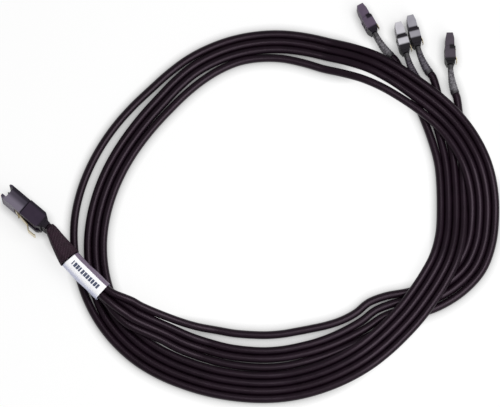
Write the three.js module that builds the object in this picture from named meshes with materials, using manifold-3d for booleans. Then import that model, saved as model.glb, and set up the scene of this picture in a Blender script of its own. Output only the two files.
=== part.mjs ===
// A server's internal breakout cable, lying loosely coiled on a table. Millimetres, +Z up from the table.
// A wide plug with a steel latch feeds four round strands. They leave it stacked in a row, pass through
// a flared sleeve and a label, run side by side through one and a half turns of the coil, and each ends
// in a small drive plug with an L-shaped slot, a contact wafer, a spring latch and a moulded relief.
import * as THREE from "three";
import { mergeVertices } from "three/addons/utils/BufferGeometryUtils.js";
import Module from "manifold-3d";

const wasm = await Module();
wasm.setup();

// Clearances
const SEAT = 0.3; // between pieces that seat on each other
const LATCH_PLAY = 0.25; // between a latch's tongue and its slot
const PAST = 1; // how far a cutting block reaches past the face that it cuts

// Strands and coil
const STRAND_DIAMETER = 4;
const STRAND_SIDES = 10;
const STRAND_PITCH = 4.3; // from one strand's middle to the next one's
const STRAIGHT_RUN = 2.5; // a strand leaves the comb, and meets its relief, straight for this far
const COIL_CENTRE = [29.3, -36];
const COIL_STEP_DEG = 15;
const COIL_START_DEG = 225; // running angle at which the strands settle into their lanes
const BUNDLE_TURN_SHARE = 0.28; // share of the lead on which the upright row turns into a square
const LEAD_FALL = 0.75; // share of the turn into a level row that is done where the lead ends
const COIL_CUTS = 2; // steps of a strand between two coil stations

// Shift that puts the origin under the middle of everything but the strands
const CABLE_PLACE = [-1.2, 0.2];

// Wide plug
const SAS_PLACE = [-101, -41.6];
const SAS_HEADING_DEG = 139.6; // the way that its nose points
const SAS_WIDTH = 22;
const SAS_THICKNESS = 9.6;
const SAS_COVER_LENGTH = 13;
const SAS_COVER_DEPTH = 6.6; // pocket in the cover's front
const SAS_COVER_WALL = 1.4;
const SAS_LATCH_WALL = 0.6; // added to each wall on the latch's side
const SAS_SHOULDER = { length: 2.4, depth: 1.6 };
const SAS_REAR_STEP = 1.2; // the narrow sides step in by this much, over this length
const SAS_RIBS = { count: 4, pitch: 2.2, width: 1, depth: 0.4, margin: 3 };
const SAS_PASSAGE_INSET = { thickness: 0.4, width: 1 }; // of the wire passage from the comb's outline
const SAS_NOSE_LENGTH = 14.2;
const SAS_NOSE_INSET = 0.3; // the nose is this much slimmer than the cover, each side
const SAS_NOSE_WALL = 1.3;
const SAS_NOSE_CHAMFER = { length: 1, depth: 0.5 };
const SAS_MOUTH_DEPTH = 10.5;
const SAS_NOTCH_DEPTH = 2.6; // the nose's short sides stop before its two broad walls
const SAS_KEYS = { apart: 11, width: 1, depth: 0.5, length: 6 };
const SAS_CARD_THICKNESS = 1;
const SAS_CARD_WIDTH = 16.4;
const SAS_CARD_RECESS = 1.6;
const SAS_CARD_TAIL = 4.4; // how far the card runs back into the cover's pocket
const SAS_CARD_CHAMFER = { length: 0.8, depth: 0.3 };
const SAS_PADS = { count: 9, length: 4.4, height: 0.1, share: 0.6, margin: 0.8, recess: 1 };
const SAS_COMB_LENGTH = 4;
const SAS_COMB_FLANGE = 1.6;
const SAS_COMB_WALL = 0.2;
const SAS_COMB_GROOVE = { width: 1, depth: 0.8 };
const SAS_LATCH_SHARE = 0.35; // where on the nose its latch is held

// Drive plugs: a name, the middle of the rear face, the nose's heading, and the relief's sideways bend
const DRIVE_PLUGS = [
  { name: "drive_1", place: [122, 48.4], heading: 91.5, sweep: -2.4 },
  { name: "drive_2", place: [104, 58.7], heading: 104.2, sweep: -3.2 },
  { name: "drive_3", place: [97.7, 54.9], heading: 105.5, sweep: -2.4 },
  { name: "drive_4", place: [80.3, 66.4], heading: 118.5, sweep: -2.4 },
];
const DRIVE_WIDTH = 14.4;
const DRIVE_THICKNESS = 5.8;
const DRIVE_GRIP_LENGTH = 9.6;
const DRIVE_SHOULDER = { length: 2.6, depth: 1.1 };
const DRIVE_REAR_STEP = { length: 1.4, depth: 0.9 };
const DRIVE_RIBS = { count: 3, pitch: 2, width: 0.9, depth: 0.35, margin: 2.4 };
const DRIVE_NOSE_LENGTH = 7.6;
const DRIVE_NOSE_THICKNESS = 4.8;
const DRIVE_NOSE_TAPER = { length: 3, tip: 3.4 };
const DRIVE_NOSE_WALL = 1.2; // beyond each end of the slot
const DRIVE_SLOT_GAP = 1.9;
const DRIVE_SLOT_FOOT = 0.6; // how far the short leg of the L turns out of the long one
const DRIVE_SLOT_DEPTH = 7;
const DRIVE_LATCH_SHARE = 0.2; // where on the nose its latch is held
const DRIVE_CHANNEL_REACH = 0.4; // how far the latch's channel runs on past the latch
const WAFER_THICKNESS = 0.6;
const WAFER_LENGTH = 5.6;
const CONTACT_COUNT = 7;
const CONTACT_PITCH = 1.27;
const CONTACT_WIDTH = 0.6;
const CONTACT_HEIGHT = 0.3;
const CONTACT_RECESS = { rear: 0.6, front: 0.4, side: 0.05 }; // from the wafer's edges
const RELIEF_LENGTH = 15;
const RELIEF_ROOT = { thickness: 2.8, width: 8.6, power: 5 };
const RELIEF_END = { diameter: 4.8, height: 2.5 }; // where the strand enters
const RELIEF_PEG = { thickness: 2.2, width: 7.6, length: 2.6 }; // sits in the plug's rear
const RELIEF_STEPS = 8;
const RELIEF_SIDES = 16;

// Spring latches: a strip of steel whose front end is a tongue, held in a slot under a lip of the face,
// and whose rear end is free. Depth is that of the channel that the strip is pressed into.
const SAS_LATCH = {
  length: 18.5, width: 9, gauge: 0.5, rise: 3.7, tongue: 2.4, hook: 1.1, depth: 1.3, lip: 0.35,
};
const DRIVE_LATCH = {
  length: 10.4, width: 5, gauge: 0.35, rise: 1.1, tongue: 1.8, hook: 0.7, depth: 0.7, lip: 0.3,
};
// Where a latch bends, as shares of its length and of its rise
const LATCH_FOOT = 0.08;
const LATCH_RAMP = { at: 0.62, rise: 0.42 };
const LATCH_PAD = { from: 0.74, to: 0.97 };
const LATCH_HOOKS = { at: 0.25, edge: 0.2, share: 0.25, slope: 2 }; // two barbs that slope to the front

// Sleeve and label round the four strands
const WRAP_SIDES = 20;
const SLEEVE_WALL = 0.45;
const SLEEVE_PLAY = 0.35;
const SLEEVE_END = 12.4;
const SLEEVE_START_SHARE = 0.02;
const SLEEVE_END_SHARE = 0.3; // where on the lead the sleeve stops
const SLEEVE_POWERS = [7, 2.6]; // of its superellipse, from boxy to nearly round
const SLEEVE_STEPS = 7;
const LABEL_START_SHARE = 0.31;
const LABEL_END_SHARE = 0.68;
const LABEL_SIZE = 11.2;
const LABEL_WALL = 0.3;
const LABEL_POWER = 3;
const LABEL_STEPS = 5;

// Middle line of the four strands between the plug and the coil, chosen by hand
const LEAD = [
  [-93.4, -50.7, 11],
  [-87, -59.9, 10.7],
  [-80.6, -66.8, 10.5],
  [-74, -73.3, 10.5],
  [-67.2, -79.8, 10.5],
  [-60, -85.6, 10],
  [-51, -91.5, 8.8],
];
// Radius of the coil's outer edge every 15 degrees, counted from +X
const COIL_EDGE = [119, 119, 115, 109, 106, 104, 105, 105.5, 105, 104, 107, 111.5, 116, 118, 118, 115,
  109.5, 105, 102, 99.5, 99, 101.5, 109.5, 117];
// How the four strands lie at each station of the coil, every 15 degrees from its start:
// the outermost strand's lane, the gaps outside the second and inside the third strand, and the height,
// 0 on the table, 1 on top of another strand and more on top of a relief
const COIL_LAY = [
  [4, 0, 1, 0.75], [4, 0, 3.4, 0], [4, 0.3, 4.4, 0], [4, 0.4, 4.4, 0], [4, 0, 3.6, 0], [3.8, 0, 1.4, 0],
  [2.9, 0, 0.4, 0], [1.4, 0, 0.3, 0], [0.3, 0, 0, 0], [0, 0, 0, 0.1], [0, 0, 0, 1], [0, 0, 0, 1],
  [0, 0, 0.6, 1.25], [0, 0, 2.2, 1.25], [0, 0, 2.6, 0], [0, 0, 0.9, 0], [0, 0, 0, 0], [0, 0.4, 1.2, 0],
  [0, 2, 0.5, 0], [0, 3.8, 0, 0], [0, 4.4, 0, 0], [0, 4.2, 0, 0], [0, 2, 0, 0], [0, 0, 0, 0],
  [0, 0, 0, 0], [0, 0, 0, 0], [0, 0, 0, 0], [0, 0, 0, 0], [0, 0, 0, 0.5], [0.3, 0, 0, 1],
  [1.2, 0, 0, 1], [2.8, 0, 0, 1], [3.8, 0, 0, 1], [4, 0, 0, 0.3],
];
// Where each strand leaves the coil on its way to its drive plug, chosen by hand
const TAILS = [
  [[128.4, -8, 2], [127.8, 10, 2]],
  [[124, -8, 2], [121.4, 8, 2], [117.2, 25, 2]],
  [[119.7, -8, 2], [116.5, 8, 2], [111.6, 24, 2]],
  [[115.4, -8, 2], [111.4, 8, 2], [105.4, 24, 2], [98.4, 40, 2]],
];

const deg = THREE.MathUtils.degToRad;
const finish = (color, roughness, metalness = 0) =>
  new THREE.MeshStandardMaterial({ color, roughness, metalness });
const blackPlastic = finish("#3f3946", 0.5);
const greyPlastic = finish("#696270", 0.55);
const waferPlastic = finish("#1b191d", 0.6);
const reliefRubber = finish("#595b60", 0.7);
const jacket = finish("#17121a", 0.4);
const sleeveFabric = finish("#2c2028", 0.9);
const labelFilm = finish("#eceaf4", 0.6);
const cardBoard = finish("#2f5a44", 0.5);
const springSteel = finish("#b9a98a", 0.35, 0.9);

// A closed geometry as a solid that can be joined and cut
function solid(geometry) {
  const plain = geometry.clone();
  plain.deleteAttribute("normal");
  plain.deleteAttribute("uv");
  const merged = mergeVertices(plain, 1e-4);
  return new wasm.Manifold(new wasm.Mesh({
    numProp: 3,
    vertProperties: merged.attributes.position.array,
    triVerts: new Uint32Array(merged.index.array),
  }));
}

function geometryOf(body) {
  const { vertProperties, triVerts } = body.getMesh();
  const geometry = new THREE.BufferGeometry();
  geometry.setAttribute("position", new THREE.BufferAttribute(vertProperties, 3));
  geometry.setIndex(new THREE.BufferAttribute(triVerts, 1));
  return geometry;
}

function named(name, shape, material) {
  const geometry = shape.isBufferGeometry ? shape : geometryOf(shape);
  const mesh = new THREE.Mesh(geometry, material);
  mesh.name = name;
  return mesh;
}

// A box between two corners
function block([x0, y0, z0], [x1, y1, z1]) {
  const box = new THREE.BoxGeometry(x1 - x0, y1 - y0, z1 - z0);
  return solid(box.translate((x0 + x1) / 2, (y0 + y1) / 2, (z0 + z1) / 2));
}

// A side profile in X and Y, raised along Z between two heights
function plate(points, z0, z1) {
  const shape = new THREE.Shape(points.map(([x, y]) => new THREE.Vector2(x, y)));
  const raised = new THREE.ExtrudeGeometry(shape, { depth: z1 - z0, bevelEnabled: false });
  return solid(raised.translate(0, 0, z0));
}

// One closed ring of points: a superellipse of the given thickness and width about a middle point,
// across the given sideways direction. A high power gives a box with round corners.
function ring(middle, side, thickness, width, power, count) {
  return Array.from({ length: count }, (_, k) => {
    const a = (2 * Math.PI * (k + 0.5)) / count;
    const reach = (c) => Math.sign(c) * Math.abs(c) ** (2 / power);
    return middle.clone()
      .addScaledVector(side, (thickness / 2) * reach(Math.cos(a)))
      .add(new THREE.Vector3(0, 0, (width / 2) * reach(Math.sin(a))));
  });
}

// A closed skin over rings that follow each other, with a flat lid on each end
function loft(rings) {
  const count = rings[0].length;
  const corners = rings.flat();
  const faces = [];
  for (let r = 0; r + 1 < rings.length; r++)
    for (let k = 0; k < count; k++) {
      const [a, b] = [r * count + k, r * count + ((k + 1) % count)];
      faces.push(a, b, b + count, a, b + count, a + count);
    }
  const last = (rings.length - 1) * count;
  for (let k = 1; k + 1 < count; k++) {
    faces.push(0, k + 1, k);
    faces.push(last, last + k, last + k + 1);
  }
  const geometry = new THREE.BufferGeometry().setFromPoints(corners);
  geometry.setIndex(faces);
  const body = solid(geometry);
  if (body.volume() > 0) return body;
  geometry.setIndex(faces.reverse());
  return solid(geometry);
}

const mix = (a, b, t) => a + (b - a) * t;
const ease = (t) => t * t * (3 - 2 * t);
const clamp01 = (t) => Math.min(1, Math.max(0, t));

// Catmull-Rom value of an evenly spaced list at a place between its entries
function along(list, place) {
  const at = (k) => list[Math.min(list.length - 1, Math.max(0, k))];
  const k = Math.floor(place);
  const t = place - k;
  const [a, b, c, d] = [at(k - 1), at(k), at(k + 1), at(k + 2)];
  return b + 0.5 * t * (c - a + t * (2 * a - 5 * b + 4 * c - d + t * (3 * (b - c) + d - a)));
}

// A path whose steps fall on its own points
class PointPath extends THREE.CatmullRomCurve3 {
  getPointAt(u, target) {
    return this.getPoint(u, target);
  }
  getTangentAt(u, target) {
    return this.getTangent(u, target);
  }
}

// The wide plug's own frame: nose along +X, thickness along Y, width along Z
const sasTurn = deg(SAS_HEADING_DEG);
const sasForward = new THREE.Vector3(Math.cos(sasTurn), Math.sin(sasTurn), 0);
const sasMiddle = SAS_WIDTH / 2;
const combBack = SAS_COMB_LENGTH - SAS_COMB_FLANGE;
const leadStart = new THREE.Vector3(SAS_PLACE[0], SAS_PLACE[1], sasMiddle)
  .addScaledVector(sasForward, -combBack - SEAT);
const leadStraight = leadStart.clone().addScaledVector(sasForward, -STRAIGHT_RUN);
const lead = new THREE.CatmullRomCurve3(
  [leadStart, leadStraight, ...LEAD.map((p) => new THREE.Vector3(...p))], false, "centripetal");

// Point on the lead, with the direction to its left, level with the table
function leadFrame(share) {
  const middle = lead.getPointAt(share);
  const tangent = share === 0 ? sasForward.clone().negate() : lead.getTangentAt(share);
  const side = new THREE.Vector3(-tangent.y, tangent.x, 0).normalize();
  return { middle, side };
}

// Places of the four strands about their middle line, sideways and up, from the outermost strand of
// the coil to the innermost. They start as an upright row, turn in pairs into a square, and the pairs
// then turn down into a level row.
function bundle(strand, share) {
  const p = STRAND_PITCH;
  const isUpper = strand === 1 || strand === 3;
  const turn = ease(clamp01(share / BUNDLE_TURN_SHARE));
  if (share < LABEL_END_SHARE) {
    const angle = deg(90 * (1 - turn));
    const sense = strand > 1 ? 1 : -1;
    const middle = ((isUpper ? 1 : -1) * p * (1 + Math.sin(angle))) / 2;
    return [(sense * p * Math.cos(angle)) / 2, middle + (sense * p * Math.sin(angle)) / 2];
  }
  const fall = ease((share - LABEL_END_SHARE) / (1 - LABEL_END_SHARE)) * LEAD_FALL;
  const angle = deg(90 * (1 - fall));
  const middle = ((strand > 1 ? 1 : -1) * p * (1 + Math.cos(angle))) / 2;
  const sense = isUpper ? 1 : -1;
  return [middle + (sense * p * Math.cos(angle)) / 2, (sense * p * Math.sin(angle)) / 2];
}

// Place of a strand at a station of the coil, which may lie between two listed ones
function coilPoint(strand, station) {
  const angle = deg(COIL_START_DEG + station * COIL_STEP_DEG);
  const turnStations = 360 / COIL_STEP_DEG;
  const firstEdge = COIL_START_DEG / COIL_STEP_DEG;
  const edgeAt = (place) => along(
    Array.from({ length: COIL_LAY.length }, (_, k) => COIL_EDGE[(k + firstEdge) % turnStations]), place);
  const laneAt = (place) => along(COIL_LAY.map((row) => row[0]), place);
  const [lane, outerGap, innerGap, height] = [0, 1, 2, 3].map((k) =>
    along(COIL_LAY.map((row) => row[k]), station));
  const gaps = (strand > 0 ? outerGap : 0) + (strand > 2 ? innerGap : 0);
  const middleRadius = (place) => edgeAt(place) - (laneAt(place) + 1.5) * STRAND_PITCH;
  const slope = (middleRadius(station + 0.5) - middleRadius(station - 0.5)) /
    (middleRadius(station) * deg(COIL_STEP_DEG));
  const spread = 1 + slope * slope; // a strand that leaves its lane needs more room beside it
  const radius = edgeAt(station) - gaps -
    (STRAND_DIAMETER / 2 + (lane + strand) * STRAND_PITCH) * spread;
  return new THREE.Vector3(
    COIL_CENTRE[0] + radius * Math.cos(angle),
    COIL_CENTRE[1] + radius * Math.sin(angle),
    STRAND_DIAMETER / 2 + Math.max(0, height) * STRAND_PITCH);
}

// Middle line of a drive plug's relief, from the plug's rear face to the strand, in the plug's own frame
function reliefMiddle(plug, share) {
  return new THREE.Vector3(
    -share * RELIEF_LENGTH,
    plug.sweep * share * share,
    mix(DRIVE_WIDTH / 2, RELIEF_END.height, ease(share)));
}

// Direction of that line over the table, backwards
function reliefWay(plug, share) {
  return new THREE.Vector3(-RELIEF_LENGTH, 2 * plug.sweep * share, 0).normalize();
}

// Where a strand meets its relief, or a given length short of that
function strandEnd(plug, short) {
  const [x, y] = plug.place;
  const end = reliefMiddle(plug, 1).addScaledVector(reliefWay(plug, 1), SEAT + short);
  return end.applyAxisAngle(new THREE.Vector3(0, 0, 1), deg(plug.heading)).add(new THREE.Vector3(x, y, 0));
}

// Shares of the lead at which a strand's route has a point
const LEAD_CUTS = [0, 0.04, 0.08, 0.12, 0.16, 0.2, 0.24, 0.28,
  0.36, 0.44, 0.52, 0.6, 0.68, 0.76, 0.84, 0.92, 1];

// The route of one strand, from the comb in the wide plug to the relief of its drive plug
function strandRoute(strand) {
  const route = LEAD_CUTS.map((share) => {
    const { middle, side } = leadFrame(share);
    const [across, up] = bundle(strand, share);
    return middle.addScaledVector(side, across).add(new THREE.Vector3(0, 0, up));
  });
  for (let cut = 0; cut <= (COIL_LAY.length - 1) * COIL_CUTS; cut++)
    route.push(coilPoint(strand, cut / COIL_CUTS));
  route.push(...TAILS[strand].map((p) => new THREE.Vector3(...p)));
  const plug = DRIVE_PLUGS[strand];
  route.push(strandEnd(plug, STRAIGHT_RUN), strandEnd(plug, 0));
  return route;
}

function makeStrand(strand) {
  const route = strandRoute(strand);
  const path = new PointPath(route, false, "centripetal");
  const section = new THREE.Shape(Array.from({ length: STRAND_SIDES }, (_, k) => {
    const a = (2 * Math.PI * k) / STRAND_SIDES;
    return new THREE.Vector2(Math.cos(a), Math.sin(a)).multiplyScalar(STRAND_DIAMETER / 2);
  }));
  const tube = new THREE.ExtrudeGeometry(section, { steps: route.length - 1, extrudePath: path });
  return named(`strand_${strand + 1}`, tube, jacket);
}

// A strip of even thickness along a bent line in X and Y, raised along Z
function strip(line, gauge, z0, z1) {
  const points = line.map(([x, y]) => new THREE.Vector2(x, y));
  const last = points.length - 1;
  const edge = (side) => points.map((p, k) => {
    const before = p.clone().sub(points[Math.max(0, k - 1)]).normalize();
    const after = points[Math.min(last, k + 1)].clone().sub(p).normalize();
    const way = before.clone().add(after).normalize();
    const reach = ((side * gauge) / 2) / way.dot(k > 0 ? before : after);
    return [p.x - way.y * reach, p.y + way.x * reach];
  });
  return plate([...edge(1), ...edge(-1).reverse()], z0, z1);
}

// Height of a latch tongue's middle over the face, below the slot's lip
const tongueHeight = ({ gauge, lip }) => -lip - LATCH_PLAY - gauge / 2;

// Spring latch in the frame of the face that it lies on: the strip runs back along -X from its tongue,
// rises outwards along +Y to the press pad, and carries two barbs
function latchShape(latch) {
  const { length, width, gauge, rise, tongue, hook } = latch;
  const sunk = tongueHeight(latch);
  const spring = strip([
    [tongue, sunk], [-SEAT, sunk], [-SEAT - LATCH_FOOT * length, 0],
    [-LATCH_RAMP.at * length, rise * LATCH_RAMP.rise],
    [-LATCH_PAD.from * length, rise], [-LATCH_PAD.to * length, rise], [-length, rise - gauge],
  ], gauge, -width / 2, width / 2);
  const { at, edge, share, slope } = LATCH_HOOKS;
  const barb = [[-at * length, 0], [-at * length, gauge + hook], [-at * length + slope * hook, 0]];
  const [near, far] = [width / 2 - width * share, width / 2 - edge];
  return spring.add(plate(barb, near, far)).add(plate(barb, -far, -near));
}

// What the latch needs cut out of its face: a channel for the strip and a slot for the tongue
function latchRoom(latch, reach) {
  const { length, width, gauge, tongue, depth } = latch;
  const half = width / 2 + SEAT;
  const middle = tongueHeight(latch);
  const slotHalf = gauge / 2 + LATCH_PLAY;
  const channel = block([-length - reach, -depth, -half], [-SEAT / 3, depth + PAST, half]);
  const slot = block([-PAST, middle - slotHalf, -half], [tongue + LATCH_PLAY, middle + slotHalf, half]);
  return channel.add(slot);
}

// Side profile of a body whose broad faces run from a shoulder at its rear to a square front
function shouldered(shoulder, length, half) {
  return [
    [0, -half + shoulder.depth], [shoulder.length, -half], [length, -half],
    [length, half], [shoulder.length, half], [0, half - shoulder.depth],
  ];
}

// Side profile of a body with a square rear and a front that narrows on both broad faces
function chamfered(start, end, half, { length, depth }) {
  return [
    [start, -half], [end - length, -half], [end, -half + depth],
    [end, half - depth], [end - length, half], [start, half],
  ];
}

// Cuts grip ribs into a face at the given height along Y, on its outer side
function ribbed(body, { count, pitch, width, depth, margin }, start, face, bodyWidth) {
  let cut = body;
  const inner = face - Math.sign(face) * depth;
  const outer = face + Math.sign(face) * PAST;
  for (let k = 0; k < count; k++) {
    const x = start + k * pitch;
    cut = cut.subtract(block([x, Math.min(inner, outer), margin],
      [x + width, Math.max(inner, outer), bodyWidth - margin]));
  }
  return cut;
}

// Cuts the rear end's two narrow sides in by a step
function stepped(body, length, depth, half, bodyWidth) {
  return body
    .subtract(block([-PAST, -half - PAST, -PAST], [length, half + PAST, depth]))
    .subtract(block([-PAST, -half - PAST, bodyWidth - depth], [length, half + PAST, bodyWidth + PAST]));
}

function makeSasPlug() {
  const plug = new THREE.Group();
  plug.position.set(SAS_PLACE[0], SAS_PLACE[1], 0);
  plug.rotation.z = sasTurn;
  const half = SAS_THICKNESS / 2;
  const noseStart = SAS_COVER_LENGTH + SEAT;
  const noseEnd = noseStart + SAS_NOSE_LENGTH;
  const noseHalf = half - SAS_NOSE_INSET;
  const noseLow = SAS_NOSE_INSET * 2;
  const noseHigh = SAS_WIDTH - noseLow;
  const pocketStart = SAS_COVER_LENGTH - SAS_COVER_DEPTH;
  const pocketHalf = half - SAS_COVER_WALL;
  const combHalf = STRAND_DIAMETER / 2 + SAS_COMB_WALL;
  const combReach = 1.5 * STRAND_PITCH + combHalf;
  const latchFront = noseStart + SAS_LATCH_SHARE * SAS_NOSE_LENGTH;
  const latchCut = latchRoom(SAS_LATCH, noseStart).translate([latchFront, noseHalf, sasMiddle]);

  // Rear cover: tapered shoulders, grip ribs on the face away from the latch, pocket for the nose's
  // spigot, seat for the comb's flange and a passage for the wires between the two
  let cover = plate(shouldered(SAS_SHOULDER, SAS_COVER_LENGTH, half), 0, SAS_WIDTH);
  cover = stepped(cover, SAS_REAR_STEP, SAS_REAR_STEP, half, SAS_WIDTH);
  cover = ribbed(cover, SAS_RIBS, SAS_SHOULDER.length + SAS_RIBS.width, -half, SAS_WIDTH);
  const passageHalf = combHalf - SAS_PASSAGE_INSET.thickness;
  const passageReach = combReach - SAS_PASSAGE_INSET.width;
  cover = cover
    .subtract(block([pocketStart, -pocketHalf, SAS_COVER_WALL],
      [noseStart, pocketHalf - SAS_LATCH_WALL, SAS_WIDTH - SAS_COVER_WALL]))
    .subtract(block([-PAST, -combHalf - SEAT, sasMiddle - combReach - SEAT],
      [SAS_COMB_FLANGE + SEAT, combHalf + SEAT, sasMiddle + combReach + SEAT]))
    .subtract(block([SAS_COMB_FLANGE, -passageHalf, sasMiddle - passageReach],
      [pocketStart + PAST, passageHalf, sasMiddle + passageReach]))
    .subtract(latchCut);
  plug.add(named("sas_rear_cover", cover, blackPlastic));

  // Nose: spigot in the cover, two broad walls past the short ones, slot for the card, and two keyways
  // along the broad wall away from the latch
  const spigotStart = pocketStart + SEAT;
  const spigotHalf = pocketHalf - SEAT;
  const mouthHalf = noseHalf - SAS_NOSE_WALL;
  const cardHalf = SAS_CARD_THICKNESS / 2;
  const cardLow = sasMiddle - SAS_CARD_WIDTH / 2;
  const cardHigh = sasMiddle + SAS_CARD_WIDTH / 2;
  let nose = plate(chamfered(noseStart, noseEnd, noseHalf, SAS_NOSE_CHAMFER), noseLow, noseHigh);
  nose = nose
    .add(block([spigotStart, -spigotHalf, SAS_COVER_WALL + SEAT],
      [noseStart + PAST, spigotHalf - SAS_LATCH_WALL, SAS_WIDTH - SAS_COVER_WALL - SEAT]))
    .subtract(block([noseEnd - SAS_MOUTH_DEPTH, -mouthHalf, noseLow + SAS_NOSE_WALL],
      [noseEnd + PAST, mouthHalf - SAS_LATCH_WALL, noseHigh - SAS_NOSE_WALL]))
    .subtract(block([noseEnd - SAS_NOTCH_DEPTH, -mouthHalf, -PAST],
      [noseEnd + PAST, mouthHalf - SAS_LATCH_WALL, SAS_WIDTH + PAST]))
    .subtract(block([spigotStart - PAST, -cardHalf - SEAT, cardLow - SEAT],
      [noseEnd, cardHalf + SEAT, cardHigh + SEAT]))
    .subtract(latchCut);
  for (const side of [-1, 1]) {
    const z = sasMiddle + (side * SAS_KEYS.apart) / 2;
    nose = nose.subtract(block([noseEnd - SAS_KEYS.length, -noseHalf - PAST, z - SAS_KEYS.width / 2],
      [noseEnd + PAST, -noseHalf + SAS_KEYS.depth, z + SAS_KEYS.width / 2]));
  }
  plug.add(named("sas_nose", nose, greyPlastic));

  // Card edge with its raised contact pads
  const cardStart = SAS_COVER_LENGTH - SAS_CARD_TAIL;
  const cardEnd = noseEnd - SAS_CARD_RECESS;
  let card = plate(chamfered(cardStart, cardEnd, cardHalf, SAS_CARD_CHAMFER), cardLow, cardHigh);
  const padPitch = (SAS_CARD_WIDTH - 2 * SAS_PADS.margin) / SAS_PADS.count;
  const padHalf = (padPitch * SAS_PADS.share) / 2;
  const padEnd = cardEnd - SAS_PADS.recess;
  for (let k = 0; k < SAS_PADS.count; k++) {
    const z = cardLow + SAS_PADS.margin + padPitch * (k + 0.5);
    card = card.add(block([padEnd - SAS_PADS.length, -cardHalf - SAS_PADS.height, z - padHalf],
      [padEnd, cardHalf + SAS_PADS.height, z + padHalf]));
  }
  plug.add(named("sas_paddle_card", card, cardBoard));

  // Comb that holds the four strands in their upright row, with a flange in the cover's rear
  let comb = block([-combBack, -combHalf, sasMiddle - combReach],
    [SAS_COMB_FLANGE, combHalf, sasMiddle + combReach]);
  for (const side of [-1, 1])
    for (let k = -1; k <= 1; k++) {
      const z = sasMiddle + k * STRAND_PITCH;
      const [floor, past] = [side * (combHalf - SAS_COMB_GROOVE.depth), side * (combHalf + PAST)];
      comb = comb.subtract(block(
        [-combBack - PAST, Math.min(floor, past), z - SAS_COMB_GROOVE.width / 2],
        [-SEAT, Math.max(floor, past), z + SAS_COMB_GROOVE.width / 2]));
    }
  plug.add(named("sas_strand_comb", comb, waferPlastic));

  const latch = new THREE.Group();
  latch.position.set(latchFront, noseHalf, sasMiddle);
  latch.add(named("sas_latch", latchShape(SAS_LATCH), springSteel));
  plug.add(latch);
  return plug;
}

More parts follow.
